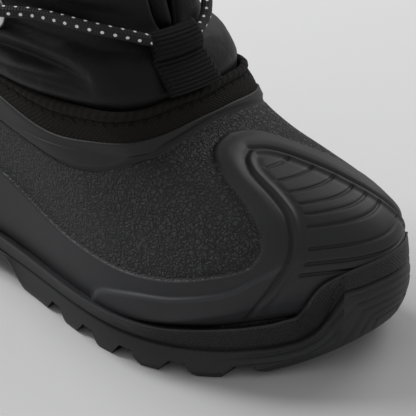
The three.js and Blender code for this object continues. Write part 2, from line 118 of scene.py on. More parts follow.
def table(x, pairs):
    # A smooth line through a short table, flat before its first entry and after its last one.
    xs, ys = np.array(pairs, float).T
    slope = np.gradient(ys, xs)
    x = np.clip(np.asarray(x, float), xs[0], xs[-1])
    k = np.clip(np.searchsorted(xs, x, side="right") - 1, 0, len(xs) - 2)
    width = xs[k + 1] - xs[k]
    t = (x - xs[k]) / width
    ends = ys[k] * (1 + 2 * t) * (1 - t) ** 2 + ys[k + 1] * t * t * (3 - 2 * t)
    return ends + width * (slope[k] * t * (1 - t) ** 2 - slope[k + 1] * t * t * (1 - t))


def rowAt(v):
    last = len(formRows) - 1
    low = int(np.clip(np.floor(v), 0, last - 1))
    t = v - low
    a, b, c, d = (formRows[int(np.clip(low + k, 0, last))] for k in (-1, 0, 1, 2))
    return b + ((c - a) * t + (2 * a - 5 * b + 4 * c - d) * t * t + (3 * b - a - 3 * c + d) * t ** 3) / 2


def ringControls(row):
    along, side, toeShare, ballShare, waistShare, heelShare, bias, swingShare = stations.T
    back, front, swing, toe, ball, waist, heel, zToe, zBall, zHeel, footShare, innerDraw = row
    halfWidth = toeShare * toe + ballShare * ball + waistShare * waist + heelShare * heel
    x = back + (front - back) * along - middle
    y = side * halfWidth + bias * footShare + swingShare * swing
    y -= (side > 0) * innerDraw * (toeShare + ballShare)
    z = zHeel + (zBall - zHeel) * blend(along, 0.19, 0.69) + (zToe - zBall) * blend(along, 0.69, 0.95)
    return np.stack([x, y, z], 1)


def lengthAlong(line):
    return np.concatenate([[0], np.cumsum(np.linalg.norm(np.diff(line, axis=0), axis=1))])


def readLine(line, length, wanted):
    return np.stack([np.interp(wanted, length, line[:, k]) for k in range(line.shape[1])], 1)


def closeRound(points):
    return np.concatenate([points, points[:1]], 0)


def closedCurve(controls, count, fine=2400):
    # A smooth closed line through the controls, read at equal steps of its length.
    number = len(controls)
    reach = np.sqrt(np.linalg.norm(np.roll(controls, -1, 0) - controls, axis=1))
    system = np.zeros((number, number))
    sides = np.zeros((number, 3))
    for i in range(number):
        before, after, j = reach[i - 1], reach[i], (i + 1) % number
        system[i, i - 1] += before
        system[i, i] += 2 * (before + after)
        system[i, j] += after
        sides[i] = 6 * ((controls[j] - controls[i]) / after - (controls[i] - controls[i - 1]) / before)
    bend = np.linalg.solve(system, sides)
    knots = np.concatenate([[0], np.cumsum(reach)])
    t = np.linspace(0, knots[-1], fine + 1)
    i = np.clip(np.searchsorted(knots, t, side="right") - 1, 0, number - 1)
    j = (i + 1) % number
    s, h = (t - knots[i])[:, None], reach[i][:, None]
    line = (bend[i] * (h - s) ** 3 + bend[j] * s ** 3) / (6 * h)
    line += (controls[i] / h - bend[i] * h / 6) * (h - s) + (controls[j] / h - bend[j] * h / 6) * s
    length = lengthAlong(line)
    return readLine(line, length, np.arange(count) / count * length[-1])


formSteps = {"round": 1600, "perRow": 20}
formPoints = np.array([
    closedCurve(ringControls(rowAt(v)), formSteps["round"])
    for v in np.arange(collarRow * formSteps["perRow"] + 1) / formSteps["perRow"]
])
formAlong = np.roll(formPoints, -3, 1) - np.roll(formPoints, 3, 1)
formUp = np.gradient(formPoints, axis=0)
formNormals = np.cross(formUp, formAlong)
formNormals /= np.linalg.norm(formNormals, axis=2, keepdims=True)


def readForm(grid, u, v):
    u, v = np.broadcast_arrays(np.asarray(u, float), np.asarray(v, float))
    a = (u % 1) * formSteps["round"]
    b = np.clip(v, 0, collarRow) * formSteps["perRow"]
    i = np.floor(a).astype(int)
    j = np.minimum(np.floor(b).astype(int), grid.shape[0] - 2)
    s, t = (a - i)[..., None], (b - j)[..., None]
    i, n = i % formSteps["round"], (i + 1) % formSteps["round"]
    low = grid[j, i] * (1 - s) + grid[j, n] * s
    high = grid[j + 1, i] * (1 - s) + grid[j + 1, n] * s
    return low * (1 - t) + high * t


def onForm(u, v, offset=0.0):
    normal = readForm(formNormals, u, v)
    normal = normal / np.linalg.norm(normal, axis=-1, keepdims=True)
    return readForm(formPoints, u, v) + normal * np.broadcast_to(offset, normal.shape[:-1])[..., None]


def roundFront(u):
    # Distance round the ring from the toe's tip, the same on both sides.
    return np.abs((np.asarray(u) + 0.5) % 1 - 0.5)


def steps(*stretches):
    # Columns or rows with a step of their own in each stretch: start, end, step.
    parts = [np.arange(start, end - step * 0.5, step) for start, end, step in stretches]
    return np.concatenate(parts + [[stretches[-1][1]]])


def pickOnly(piece):
    bpy.ops.object.select_all(action="DESELECT")
    piece.select_set(True)
    bpy.context.view_layer.objects.active = piece


def editAll(piece, work):
    pickOnly(piece)
    bpy.ops.object.mode_set(mode="EDIT")
    bpy.ops.mesh.select_all(action="SELECT")
    work()
    bpy.ops.object.mode_set(mode="OBJECT")


def addGrid(name, points, uv=None, marks=None):
    # A grid primitive whose vertices go to their places. points, uv and marks are given by column and row.
    columns, rows = points.shape[:2]
    bpy.ops.object.select_all(action="DESELECT")
    bpy.ops.mesh.primitive_grid_add(
        x_subdivisions=columns - 1, y_subdivisions=rows - 1, size=2, calc_uvs=True)
    piece = bpy.context.object
    piece.name = piece.data.name = name
    mesh = piece.data
    flat = np.empty(len(mesh.vertices) * 3, np.float32)
    mesh.vertices.foreach_get("co", flat)
    i = np.rint((flat[0::3] + 1) / 2 * (columns - 1)).astype(int)
    j = np.rint((flat[1::3] + 1) / 2 * (rows - 1)).astype(int)
    placed = (points[i, j] + (toMiddle, 0, 0)) * mm
    mesh.vertices.foreach_set("co", placed.astype(np.float32).ravel())
    if uv is not None:
        corners = np.empty(len(mesh.loops), np.int32)
        mesh.loops.foreach_get("vertex_index", corners)
        mesh.uv_layers[0].data.foreach_set("uv", uv[i, j][corners].astype(np.float32).ravel())
    for mark, values in (marks or {}).items():
        layer = mesh.attributes.new(mark, "FLOAT", "POINT")
        layer.data.foreach_set("value", np.broadcast_to(values, (columns, rows))[i, j].astype(np.float32))
    mesh.update()
    return piece


def joinPieces(pieces):
    pickOnly(pieces[0])
    for piece in pieces:
        piece.select_set(True)
    if len(pieces) > 1:
        bpy.ops.object.join()
    return bpy.context.object


def sealPiece(pieces, threshold=0.002):
    # Joins the patches of one solid, closes their seams and turns its faces outwards.
    piece = joinPieces(pieces)
    editAll(piece, lambda: bpy.ops.mesh.remove_doubles(threshold=threshold * mm))
    body = bmesh.new()
    body.from_mesh(piece.data)
    volume = body.calc_volume(signed=True)
    openEdges = sum(1 for edge in body.edges if not edge.is_manifold)
    body.free()
    if volume < 0:
        editAll(piece, bpy.ops.mesh.flip_normals)
    pickOnly(piece)
    bpy.ops.object.shade_smooth()
    faces = len(piece.data.polygons)
    print(f"  {piece.name}: {faces} faces, {abs(volume) * 1e6:.1f} cm3, {openEdges} open edges")
    return piece


def finishPiece(piece, material, slot, *nodes):
    piece.data.materials.clear()
    piece.data.materials.append(material)
    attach(piece, "root")
    if nodes:
        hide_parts(*nodes)
    return piece


def addTube(name, line, radius, sides=16, closed=False):
    # A round tube along a line, with its length in millimetres and its turn as the UV map.
    tangent = np.roll(line, -1, 0) - np.roll(line, 1, 0) if closed else np.gradient(line, axis=0)
    tangent /= np.linalg.norm(tangent, axis=1, keepdims=True)
    across = np.cross(tangent[0], (0, 0, 1.0))
    if np.linalg.norm(across) < 0.1:
        across = np.cross(tangent[0], (0, 1.0, 0))
    frames = []
    for t in tangent:
        across = across - t * (across @ t)
        across /= np.linalg.norm(across)
        frames.append(across.copy())
    frames = np.array(frames)
    beside = np.cross(tangent, frames)
    length = lengthAlong(line)
    sizes = np.full(len(line), float(radius))
    if closed:
        places, sizes = closeRound(line), closeRound(sizes)
        lengths = np.append(length, length[-1] + np.linalg.norm(line[0] - line[-1]))
        frames, beside = closeRound(frames), closeRound(beside)
    else:
        rings = 4                # of each round end
        turn = np.linspace(0, math.pi / 2, rings + 1)[:-1]
        bow, growth = np.cos(turn)[:, None] * radius, np.sin(turn) * radius
        places = np.vstack([line[0] - tangent[0] * bow, line, (line[-1] + tangent[-1] * bow)[::-1]])
        sizes = np.concatenate([growth, sizes, growth[::-1]])
        lengths = np.pad(length, rings, mode="edge")
        frames, beside = (np.pad(side, ((rings, rings), (0, 0)), mode="edge") for side in (frames, beside))
    turn = np.linspace(0, 2 * math.pi, sides + 1)
    ring = frames[:, None] * np.cos(turn)[None, :, None] + beside[:, None] * np.sin(turn)[None, :, None]
    points = places[:, None] + ring * sizes[:, None, None]
    uv = np.stack(np.broadcast_arrays(lengths[:, None], turn[None] / (2 * math.pi)), -1)
    return addGrid(name, points, uv)


def smoothLine(controls, step):
    # A smooth open line through the controls, with equal steps.
    controls = np.array(controls, float)
    reach = np.concatenate([[0], np.cumsum(np.sqrt(np.linalg.norm(np.diff(controls, axis=0), axis=1)))])
    fine = np.linspace(0, reach[-1], 800)
    line = np.stack([table(fine, list(zip(reach, column))) for column in controls.T], 1)
    length = lengthAlong(line)
    return readLine(line, length, np.linspace(0, length[-1], max(2, int(round(length[-1] / step)) + 1)))


def nearestOn(points, line):
    # From each point, the shortest distance to a line of straight stretches, and how far along it that is.
    best = np.full(points.shape[:-1], 1e9)
    along = np.zeros(points.shape[:-1])
    done = 0.0
    for a, b in zip(line[:-1], line[1:]):
        edge = b - a
        size = max(float(edge @ edge), 1e-12)
        t = np.clip(((points - a) @ edge) / size, 0, 1)
        far = np.sum((points - a - t[..., None] * edge) ** 2, axis=-1)
        nearer = far < best
        best = np.where(nearer, far, best)
        along = np.where(nearer, done + t * math.sqrt(size), along)
        done += math.sqrt(size)
    return np.sqrt(best), along


def lineDistance(points, line):
    return nearestOn(points, line)[0]


def insideOutline(u, v, outline):
    # True where (u, v) lies inside a closed outline.
    inside = np.zeros(np.broadcast(u, v).shape, bool)
    for (u1, v1), (u2, v2) in zip(outline, np.roll(outline, -1, 0)):
        crosses = (v1 > v) != (v2 > v)
        with np.errstate(divide="ignore", invalid="ignore"):
            at = (u2 - u1) * (v - v1) / (v2 - v1) + u1
        inside ^= crosses & (u < at)
    return inside


def softMin(a, b, reach):
    h = np.clip(0.5 + 0.5 * (b - a) / reach, 0, 1)
    return b * (1 - h) + a * h - reach * h * (1 - h)


def ridge(distance, halfWidth):
    # A soft bump of height 1 at distance 0, which ends at its half width.
    t = np.clip(1 - (np.asarray(distance) / halfWidth) ** 2, 0, 1)
    return t * t


class Wire:
    def __init__(self, tree, socket=None):
        self.tree = tree
        self.socket = socket

    def node(self, kind, settings=None, inputs=None, output=0):
        made = self.tree.nodes.new(kind)
        for key, value in (settings or {}).items():
            setattr(made, key, value)
        for key, value in (inputs or {}).items():
            if isinstance(value, Wire):
                self.tree.links.new(value.socket, made.inputs[key])
            else:
                made.inputs[key].default_value = value
        return Wire(self.tree, made.outputs[output] if len(made.outputs) else None)

    def maths(self, operation, *values):
        return self.node("ShaderNodeMath", {"operation": operation}, dict(enumerate(values)), "Value")

    def __add__(self, other): return self.maths("ADD", self, other)
    def __radd__(self, other): return self.maths("ADD", other, self)
    def __sub__(self, other): return self.maths("SUBTRACT", self, other)
    def __rsub__(self, other): return self.maths("SUBTRACT", other, self)
    def __mul__(self, other): return self.maths("MULTIPLY", self, other)
    def __rmul__(self, other): return self.maths("MULTIPLY", other, self)
    def __truediv__(self, other): return self.maths("DIVIDE", self, other)
    def __pow__(self, other): return self.maths("POWER", self, other)
    def __abs__(self): return self.maths("ABSOLUTE", self)

    def sine(self): return self.maths("SINE", self)
    def fraction(self): return self.maths("FRACT", self)
    def whole(self): return self.maths("FLOOR", self)
    def lowest(self, other): return self.maths("MINIMUM", self, other)
    def highest(self, other): return self.maths("MAXIMUM", self, other)

    def ease(self, start, end):
        # 0 before start and 1 past end, with a soft passage.
        return self.node(
            "ShaderNodeMapRange", {"interpolation_type": "SMOOTHSTEP"},
            {"Value": self, "From Min": start, "From Max": end, "To Min": 0.0, "To Max": 1.0}, "Result")

    def within(self): return self.lowest(1).highest(0)

    def colour(self, low, high):
        # This wire mixes two colours, each a triple or another wire.
        low, high = (c if isinstance(c, Wire) else (*c, 1) for c in (low, high))
        return self.node("ShaderNodeMix", {"data_type": "RGBA"}, {0: self, 6: low, 7: high}, 2)

    def noise(self, scale, detail=2.0, rough=0.5, distortion=0.0, output=0):
        return self.node("ShaderNodeTexNoise", {}, {
            "Vector": self.place(), "Scale": scale, "Detail": detail, "Roughness": rough,
            "Distortion": distortion,
        }, output)

    def place(self): return self.node("ShaderNodeTexCoord", {}, {}, "Object")

    def across(self, axis, source="UV"):
        vector = self.node("ShaderNodeTexCoord", {}, {}, source)
        return self.node("ShaderNodeSeparateXYZ", {}, {"Vector": vector}, axis)

    def mark(self, name): return self.node("ShaderNodeAttribute", {"attribute_name": name}, {}, "Fac")

    def bump(self, height):
        return self.node("ShaderNodeBump", {}, {"Height": height, "Distance": mm, "Strength": 1.0}, "Normal")


def newFinish(name, make):
    # make(wire) gives the sockets of the surface, by name.
    material = bpy.data.materials.new(name)
    material.use_nodes = True
    material.node_tree.nodes.clear()
    wire = Wire(material.node_tree)
    surface = wire.node("ShaderNodeBsdfPrincipled", {}, make(wire), "BSDF")
    wire.node("ShaderNodeOutputMaterial", {}, {"Surface": surface})
    return material


shell = {
    "wall": 3.0,
    "rimLine": [(0, 9.04), (0.02, 9.02), (0.07, 8.62), (0.104, 8.37), (0.149, 8.47), (0.185, 9.0),
                (0.226, 9.34), (0.3, 9.2), (0.4, 9.05), (0.5, 9.0)],
    "rimGroove": [(0, 8.87), (0.02, 8.78), (0.051, 8.33), (0.079, 7.6), (0.118, 6.6), (0.160, 6.17),
                  (0.194, 6.17), (0.220, 6.37), (0.3, 7.0), (0.4, 7.4), (0.5, 7.6)],
    "randTop": [(0, 2.9), (0.083, 2.75), (0.103, 2.63), (0.134, 2.63), (0.165, 2.77), (0.194, 2.9),
                (0.24, 3.0), (0.299, 3.5), (0.4, 3.7), (0.5, 3.7)],
    "capAxis": [(4, 0.0165), (5, 0.0145), (6.4, 0.0085), (7.8, 0.002)],
    "capOuter": [(0, 7.8), (0.012, 7.6), (0.024, 7.15), (0.04, 6.0), (0.052, 4.6), (0.058, 3.6), (0.067, 2.9),
                 (0.072, 1.8), (0.075, 0.4)],
    "capInner": [(0, 6.75), (0.012, 6.5), (0.02, 6.1), (0.0265, 5.43), (0.0345, 4.27), (0.0425, 3.5),
                 (0.0535, 2.63), (0.0675, 1.27), (0.075, 0.3)],
    "panelTop": [(0.209, 0.2), (0.203, 1.0), (0.195, 1.8), (0.169, 2.15), (0.134, 2.07), (0.103, 2.13),
                 (0.088, 2.43), (0.07, 2.75)],
    "ribs": [6.0, 5.5, 5.05, 4.6, 4.25, 3.85, 3.2, 2.7, 2.3],
    "recess": 0.9, "panelStep": 1.2, "frameRise": 0.55, "capGroove": 0.75, "capLip": 0.45, "capDip": 0.3,
    "rimDepth": 1.1, "ribDepth": 0.5,
}


flatForm = (600, 12)             # millimetres for the whole way round and for a row, on the form laid flat


def smoothOnForm(line):
    return smoothLine(np.array(line) * flatForm, 1.0) / flatForm


def mirrorOutline(half, close):
    # Both sides of a cap outline, from its lowest point on the outer side over the apex to the inner side.
    near = smoothOnForm(half)
    axis = table(near[:, 1], shell["capAxis"])
    outer = np.stack([axis + near[:, 0], near[:, 1]], 1)[::-1]
    inner = np.stack([axis - near[:, 0], near[:, 1]], 1)
    line = np.vstack([outer, inner[1:]])
    return line, np.vstack([line, [(line[-1, 0], close), (line[0, 0], close)]])


def signedDistance(u, v, points, line, outline):
    # Millimetres from a line on the form, positive inside the outline.
    distance = lineDistance(points, onForm(line[:, 0], line[:, 1]))
    return np.where(insideOutline(u, v, outline), distance, -distance)


def shellMarks(u, v):
    # Distances in millimetres from the lines of the mould, for the relief and for the rubber's finish.
    points = onForm(u, v)
    front = roundFront(u)
    wide = (u + 0.5) % 1 - 0.5
    rise, below = 0.1, -2        # rows: one small step up, and a row below the shell's underside
    perRow = np.linalg.norm(onForm(u, np.minimum(v + rise, collarRow - rise)) - points, axis=-1) / rise
    frameIn, capIn = (
        signedDistance(wide, v, points, *mirrorOutline(shell[name], below))
        for name in ("capOuter", "capInner"))
    aboveRand = (v - table(front, shell["randTop"])) * perRow
    belowGroove = (table(front, shell["rimGroove"]) - v) * perRow
    vampIn = softMin(softMin(-frameIn, aboveRand, 5.0), belowGroove, 2.5)
    panelLine = smoothOnForm(shell["panelTop"])
    corners = [(-0.01, panelLine[-1, 1]), (-0.01, below), (panelLine[0, 0], below)]
    panelOutline = np.vstack([panelLine, corners])
    panelIn = signedDistance(front, v, onForm(front, v), panelLine, panelOutline)
    rimUp = (v - table(front, shell["rimGroove"])) * perRow
    ribAway = np.min([np.abs(v - rib) for rib in shell["ribs"]], axis=0) * perRow
    lateral = blend((0.5 - u % 1) * flatForm[0], -1, 1)
    reach = blend(capIn, 4.6, 5.6) * lateral + blend(capIn, 1.2, 2.2) * (1 - lateral)
    return {
        "frameIn": frameIn, "capIn": capIn, "vampIn": vampIn, "panelIn": panelIn, "rimUp": rimUp,
        "ribAway": ribAway + 9 * (1 - reach),
    }


def shellRelief(u, v, marks):
    frameIn, capIn, vampIn, panelIn = (marks[k] for k in ("frameIn", "capIn", "vampIn", "panelIn"))
    relief = -shell["recess"] * blend(vampIn, -0.2, 1.5)
    relief += shell["frameRise"] * blend(frameIn, -0.3, 5) * blend(-capIn, 0, 4)
    relief -= shell["capGroove"] * ridge(capIn, 1.3)
    relief += shell["capLip"] * ridge(capIn - 1.9, 1.2) - shell["capDip"] * ridge(capIn - 4.2, 1.8)
    besideCap = roundFront(u) > shell["capOuter"][-1][0]
    relief += shell["panelStep"] * blend(panelIn, -0.5, 0.7) * besideCap * blend(-frameIn, -6, 6)
    relief -= shell["rimDepth"] * ridge(marks["rimUp"] - 0.2, 2.0) * blend(-frameIn, 0, 3)
    return relief - shell["ribDepth"] * ridge(marks["ribAway"], 0.85)


def buildShell():
    toe, side, heel = 0.0013, 0.0026, 0.006
    columns = steps(
        (0, 0.135, toe), (0.135, 0.32, side), (0.32, 0.68, heel), (0.68, 0.865, side), (0.865, 1, toe))
    rows = steps((0, 0.12, 0.06), (0.12, 1.0, 0.0057))
    u = columns[:, None]
    rim = table(roundFront(u), shell["rimLine"])
    v = rim * rows[None, :]
    uFull = u + 0 * v
    marks = shellMarks(uFull, v)
    outer = onForm(uFull, v, shellRelief(uFull, v, marks) * blend(v, 0.6, 1.2))
    edge = []
    for turn in np.linspace(0, math.pi, 7)[1:-1]:
        half = shell["wall"] / 2
        point = onForm(u, rim, -half + half * np.cos(turn))
        point[..., 2] += 1.3 * math.sin(turn)
        edge.append(point)
    innerRows = steps((0, 1.0, 0.09))[::-1]
    inner = onForm(uFull[:, :1] + 0 * innerRows, rim * innerRows[None, :], -shell["wall"])
    points = np.concatenate([outer] + edge + [inner, outer[:, :1]], axis=1)
    extra = points.shape[1] - outer.shape[1]
    marks = {k: np.concatenate([m, np.repeat(m[:, -1:], extra, 1)], axis=1) for k, m in marks.items()}
    marks["vampIn"][:, outer.shape[1]:] = -5     # the wall's inside is plain
    marks["capIn"][:, outer.shape[1]:] = -20
    uv = np.stack([uFull, v], -1) * flatForm
    uv = np.concatenate([uv, np.repeat(uv[:, -1:], extra, 1)], axis=1)
    return sealPiece([addGrid("shell_moulding", points, uv, marks)])


def shellRubber(wire):
    vamp = wire.mark("vampIn").ease(0.4, 1.6)
    capIn = wire.mark("capIn")
    rib = 1 - wire.mark("ribAway").ease(0.25, 0.8)
    rim = 1 - abs(wire.mark("rimUp") - 0.3).ease(0.2, 1.2)
    collar = wire.mark("rimUp").ease(1.0, 3.0)
    drift = wire.noise(420.0, output="Color")
    spot = wire.node("ShaderNodeVectorMath", {"operation": "MULTIPLY_ADD"}, {
        0: drift, 1: (0.0035,) * 3, 2: wire.place(),
    }, 0)
    pebble = wire.node(
        "ShaderNodeTexVoronoi", {"feature": "DISTANCE_TO_EDGE"}, {"Vector": spot, "Scale": 640.0}, "Distance")
    fine = wire.noise(1700.0, 2.0, 0.6, 0.3)
    valley = 1 - pebble.ease(0.02, 0.24)
    mould = wire.noise(3200.0, 2.0, 0.6) * 0.02 + wire.noise(60.0, 2.0, 0.5) * 0.1
    height = (fine * 0.2 - valley * 0.55) * vamp + mould - rib * 0.25
    cloud = wire.noise(25.0, 3.0, 0.55)
    dust = (cloud * 0.5 + fine * 0.5).ease(0.35, 0.7)
    # Painted shade: the tone is darkened in the ribs, in the cap's groove and in the rim groove.
    groove = (rib * 0.9).highest((1 - abs(capIn).ease(0.2, 1.0)) * 0.9).highest(rim * 0.7)
    lit = (1 - valley * 1.3).highest(0) * vamp
    # Painted highlight along the top edge of the raised side panel, outside the grained vamp.
    panelEdgeHighlight = (1 - abs(wire.mark("panelIn") - 0.6).ease(0.5, 1.3)) * 0.5 * (1 - vamp)
    tone = (dust * 0.35 + 0.26 - vamp * 0.34 + lit * 0.75 + panelEdgeHighlight - collar * 0.16 - groove * 0.9).within()
    return {
        "Base Color": tone.colour((0.005, 0.005, 0.006), (0.034, 0.035, 0.039)),
        "Roughness": 0.5 + vamp * 0.04 + dust * 0.08,
        "Specular IOR Level": 0.45,
        "Normal": wire.bump(height),
    }


shellFinish = newFinish("shell rubber", shellRubber)
finishPiece(buildShell(), shellFinish, "shell_rubber", "shell")
print("shell made")

outsole = {
    "tread": [3, 235.5, 12.5, 25.2, 46.9, 34.6, 32.3],
    "side": [1.5, 237.5, 12.5, 26, 47.4, 35.3, 33],
    "bandTop": [(0, 22.5), (50, 20.5), (100, 19), (150, 18.2), (190, 17.8), (206, 18), (214, 19.6),
                (219, 22.4), (222, 27), (224.5, 32), (226.8, 35.8), (229.5, 38.3), (233, 40.2), (237, 42),
                (242, 43)],
    "bandLow": [(0, 14.6), (50, 12.6), (100, 11), (150, 10.2), (190, 9.8), (206, 10), (214, 10.8),
                (219, 12.8), (222.5, 16.5), (225, 22), (227.3, 28), (230, 31.6), (235, 33.9), (239, 35.7),
                (242, 36.4)],
    "standsOut": [(0, 2.3), (205, 2.3), (218, 2.0), (230, 1.4), (242, 1.25)],
    "lipDraw": [(0, 0.3), (212, 0.3), (232, 0.75), (242, 0.8)],
    "bulge": [(0, 0.2), (190, 0.3), (215, 0.8), (232, 1.6), (242, 1.6)],
    "groove": {"depth": 4.6, "width": 13.9, "taper": 4.2, "pitch": 19, "innerShift": 4, "centre": 12},
    "heelGrooves": (18, 3), "soleGrooves": (133, 5),
    "bumperLines": [3.2, 6.4, 9.7, 13.0, 16.3, 19.6],
    "bandRise": 0.35, "bandLine": 0.7, "bumperDepth": 0.65, "sideAbove": 2.5, "wallRows": 34, "bandRows": 16,
}


def treadHeight(x):
    bevel = 3 * (np.clip(11 - x, 0, None) / 11) ** 1.5
    spring = 12.6 * (np.clip(x - 196, 0, None) / 39.5) ** 2.5
    return bevel + spring + 7 * blend(x, 64, 76) * (1 - blend(x, 100, 112))


def soleRing(row, columns):
    flat = closedCurve(ringControls(np.array(row + [0, 0, 0, 1, 0], float)), 2400)
    return readLine(closeRound(flat)[:, :2], np.arange(2401) / 2400, columns)


rowStep = 0.05


def huggingRing(columns, heights):
    # Where the shell's form reaches the height that holds at that place: points, and the way out.
    rows = np.arange(0, 5 + rowStep / 2, rowStep)
    points = onForm(columns[:, None], rows[None, :])
    above = points[..., 2] - table(points[..., 0] + middle, heights)
    k = np.argmax(above > 0, axis=1).clip(1)
    pick = np.arange(len(columns))
    a, b = above[pick, k - 1], above[pick, k]
    v = rows[k - 1] + np.clip(-a / (b - a), 0, 1) * rowStep
    point = onForm(columns, v)
    point[:, 2] = table(point[:, 0] + middle, heights)
    out = readForm(formNormals, columns, v)
    out[:, 2] = 0
    return point, out / np.linalg.norm(out, axis=1, keepdims=True)


def footCap(name, ring, height, across=14):
    # Closes a ring with bands that run across the foot.
    half = len(ring) // 2
    a, b = ring[:half + 1], ring[np.arange(len(ring), half - 1, -1) % len(ring)]
    t = np.linspace(0, 1, across + 1)[None, :, None]
    points = a[:, None] * (1 - t) + b[:, None] * t
    inner = (np.arange(across + 1) > 0) & (np.arange(across + 1) < across)
    if height is not None:
        lift = height(points[..., 0] + middle)
        points[..., 2] = np.where(inner[None, :], lift, points[..., 2])
    return addGrid(name, points, points[..., :2].copy())


def buildOutsole():
    dense, medium = 0.00135, 0.0035
    columns = steps((0, 0.16, dense), (0.16, 0.84, medium), (0.84, 1, dense))[:-1]
    if len(columns) % 2:
        columns = np.append(columns, 1 - dense * 0.5)
    treadEdge, sideEdge = soleRing(outsole["tread"], columns), soleRing(outsole["side"], columns)
    low, lowOut = huggingRing(columns, outsole["bandLow"])
    high, highOut = huggingRing(columns, outsole["bandTop"])
    treadPoints = np.column_stack([treadEdge, treadHeight(treadEdge[:, 0] + middle)])
    sidePoints = np.column_stack([sideEdge, treadHeight(sideEdge[:, 0] + middle) + outsole["sideAbove"]])
    standsOut = table(low[:, 0] + middle, outsole["standsOut"])[:, None]
    bulge = table(low[:, 0] + middle, outsole["bulge"])[:, None]
    lip = standsOut - table(low[:, 0] + middle, outsole["lipDraw"])[:, None]
    lowLine, highLine = low + lowOut * standsOut, high + highOut * lip
    rows = [treadPoints, treadPoints * 0.5 + sidePoints * 0.5 + lowOut * 0.1 - (0, 0, 0.25)]
    for t in np.linspace(0, 1, outsole["wallRows"]):
        rows.append(sidePoints * (1 - t) + lowLine * t + lowOut * bulge * math.sin(math.pi * t) ** 0.8)
    for t in np.linspace(0, 1, outsole["bandRows"] + 1)[1:]:
        rows.append(lowLine * (1 - t) + highLine * t)
    wall = slice(2, len(rows))
    points = np.stack(rows, 1)
    where = points[:, wall]
    half = len(columns) // 2     # the lines start at the heel
    away, along = nearestOn(where, np.roll(lowLine, half, 0))
    fromTop = lineDistance(where, np.roll(highLine, half, 0))
    up = away * np.where(np.arange(where.shape[1]) >= outsole["wallRows"], 1.0, -1.0)
    front = blend(where[..., 0] + middle, 200, 212)
    band = blend(up, -0.1, 0.7)
    relief = outsole["bandRise"] * band * (1 - 0.6 * ridge(fromTop, 1.0))
    relief -= outsole["bandLine"] * ridge(up + 0.5, 0.85)
    relief -= outsole["bumperDepth"] * front * sum(ridge(up + line, 0.95) for line in outsole["bumperLines"])
    points[:, wall] += lowOut[:, None, :] * relief[..., None]
    edge = []
    for down, inward, least in ((-0.05, 0.3, 0.2), (0.1, 0.9, 0.2), (0.35, 1.5, 0.2), (0.6, 2.2, 0.12)):
        reach = np.maximum(lip - inward, least)
        edge.append(high + highOut * np.minimum(reach, lip) - (0, 0, down))
    points = np.concatenate([points, np.stack(edge, 1)], 1)
    extra = len(edge)

    def mark(values, before, after):
        return closeRound(np.pad(values, ((0, 0), (2, extra)), constant_values=((0, 0), (before, after))))

    marks = {"bandUp": mark(up, -30, 9), "bandAlong": mark(along, 0, 0), "fromTop": mark(fromTop, 30, 0)}
    gapRow = points[:, -1]
    cavity = huggingRows(columns, gapRow)
    wallUv = np.stack([marks["bandAlong"], marks["bandUp"]], -1)
    wallPiece = addGrid("outsole_moulding", closeRound(points), wallUv, marks)
    cavityPiece = addGrid("outsole_cavity", closeRound(np.stack([gapRow] + cavity, 1)))
    bottom = footCap("outsole_bottom", treadPoints, treadHeight)
    inside = footCap("outsole_inside", cavity[-1], None)
    return sealPiece([wallPiece, cavityPiece, bottom, inside])


def huggingRows(columns, gapRow):
    # The cup's inner wall follows the shell's form down to its underside.
    rows = np.arange(0, 5 + rowStep / 2, rowStep)
    heights = onForm(columns[:, None], rows[None, :])[..., 2]
    top = np.array([np.interp(z, h, rows) for z, h in zip(gapRow[:, 2] - 0.3, heights)])
    return [onForm(columns, top * share, 0.12) for share in (1.0, 0.75, 0.5, 0.25, 0.0)]


def addCutter(x, fromY, toY, width):
    # One groove of the tread: a block whose top is drawn in, longer than the sole is wide.
    cut = outsole["groove"]
    bpy.ops.object.select_all(action="DESELECT")
    bpy.ops.mesh.primitive_cube_add(size=1, location=(0, 0, 0))
    cutter = bpy.context.object
    body = bmesh.new()
    body.from_mesh(cutter.data)
    for corner in body.verts:
        high = corner.co.z > 0
        half = width / 2 - (cut["taper"] * width / cut["width"] if high else 0)
        corner.co.x = (x - middle + toMiddle + math.copysign(half, corner.co.x)) * mm
        corner.co.y = (toY if corner.co.y > 0 else fromY) * mm
        corner.co.z = (cut["depth"] if high else -1) * mm
    body.to_mesh(cutter.data)
    body.free()
    return cutter


def cutTread(piece):
    cut = outsole["groove"]
    cutters = []
    for start, count in (outsole["heelGrooves"], outsole["soleGrooves"]):
        for k in range(count):
            x = start + k * cut["pitch"]
            cutters.append(addCutter(x, -60, -cut["centre"], cut["width"]))
            cutters.append(addCutter(x + cut["innerShift"], cut["centre"], 60, cut["width"]))
        for k in range(count - 1):
            x = start + (k + 0.6) * cut["pitch"]
            cutters.append(addCutter(x, -cut["centre"] + 3, cut["centre"] - 3, cut["width"] * 0.6))
    tool = joinPieces(cutters)
    pickOnly(piece)
    carve = piece.modifiers.new("tread", "BOOLEAN")
    carve.operation, carve.object, carve.solver = "DIFFERENCE", tool, "EXACT"
    bpy.ops.object.modifier_apply(modifier=carve.name)
    bpy.data.objects.remove(tool)


